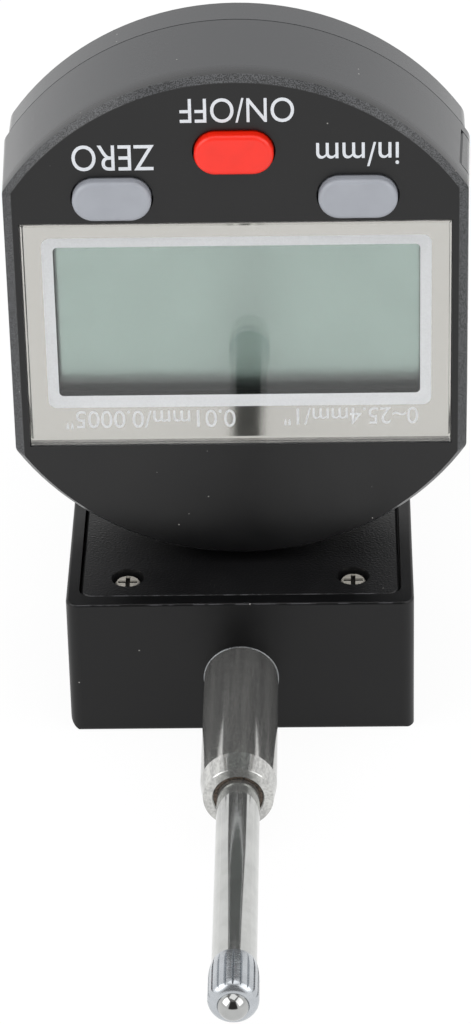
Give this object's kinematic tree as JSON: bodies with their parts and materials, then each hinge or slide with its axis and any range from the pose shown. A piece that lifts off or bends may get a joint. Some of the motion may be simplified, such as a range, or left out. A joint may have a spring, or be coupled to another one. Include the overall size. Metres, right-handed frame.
{
  "type": "digital plunger indicator",
  "caption": "Digital indicator with a boxy body, a clamping stem, a sprung spindle with a ball contact, and a round folding display head with push keys.",
  "frame": {"origin": "on the stem's axis, in the body's end face where the stem comes out", "axes": "-Y along the stem towards the contact ball, +X to the right of the display, +Z away from the body's back face, the way the display head stands up"},
  "size_m": [0.0493, 0.1301, 0.0748],
  "materials": {
    "cast_black": "powder coated",
    "plate_black": "fine texture",
    "head_black": "satin",
    "key_red": "satin",
    "key_grey": "satin",
    "clear": "gloss",
    "lcd_glass": "gloss",
    "zebra": "matte",
    "steel": "ground",
    "hardened_steel": "polished",
    "screw_nickel": "nickel plated",
    "screw_black": "black oxide",
    "bronze": "machined",
    "acetal": "matte",
    "rubber": "matte",
    "aluminium": "machined",
    "circuit": "satin",
    "epoxy": "matte",
    "spring_steel": "drawn"
  },
  "bodies": {
    "base": {"housing": "cast_black", "cover_plate": "plate_black", "cover_screws": "screw_nickel", "stem": "steel", "stem_nut": "steel", "lower_bush": "bronze", "upper_bush": "bronze", "bumper": "rubber", "guide_rail": "acetal", "reader_board": "circuit", "reader_chip": "epoxy", "reader_screws": "screw_nickel", "rear_cap": "steel", "spring_post": "steel", "return_spring": "spring_steel", "hinge_lug": "steel", "hinge_screws": "screw_black", "hinge_pin": "hardened_steel", "hinge_washers": "acetal"},
    "plunger": {"spindle": "steel", "contact_point": "steel", "contact_ball": "hardened_steel", "carriage": "aluminium", "guide_pin": "hardened_steel", "scale_strip": "lcd_glass"},
    "head": {"front_shell": "head_black", "rear_cover": "head_black", "head_screws": "screw_black", "display_lens": "clear", "lcd_panel": "lcd_glass", "contact_strips": "zebra", "main_board": "circuit", "board_screws": "screw_nickel", "key_domes": "spring_steel", "battery_leaf": "spring_steel", "hinge_yoke": "steel", "yoke_screws": "screw_black"},
    "zero_key": {"zero_button": "key_grey"},
    "power_key": {"power_button": "key_red"},
    "unit_key": {"unit_button": "key_grey"},
    "tray": {"battery_tray": "head_black", "battery_cell": "screw_nickel"}
  },
  "joints": [
    {"name": "plunger_slide", "type": "slide", "parent": "base", "child": "plunger", "axis": [0, 1, 0], "range_m": [0, 0.0254], "stiffness_N_per_m": 20, "springref_m": -0.03, "deforming": ["return_spring"]},
    {"name": "head_tilt", "type": "hinge", "parent": "base", "child": "head", "pos_m": [0.0003, 0.02355, 0.01215], "axis": [1, 0, 0], "range_deg": [-90, 0]},
    {"name": "zero_press", "type": "slide", "parent": "head", "child": "zero_key", "axis": [0, 1, 0], "range_m": [0, 0.0005], "stiffness_N_per_m": 1500},
    {"name": "power_press", "type": "slide", "parent": "head", "child": "power_key", "axis": [0, 1, 0], "range_m": [0, 0.0005], "stiffness_N_per_m": 1500},
    {"name": "unit_press", "type": "slide", "parent": "head", "child": "unit_key", "axis": [0, 1, 0], "range_m": [0, 0.0005], "stiffness_N_per_m": 1500},
    {"name": "battery_tray_slide", "type": "slide", "parent": "head", "child": "tray", "axis": [1, 0, 0], "range_m": [0, 0.022]}
  ]
}
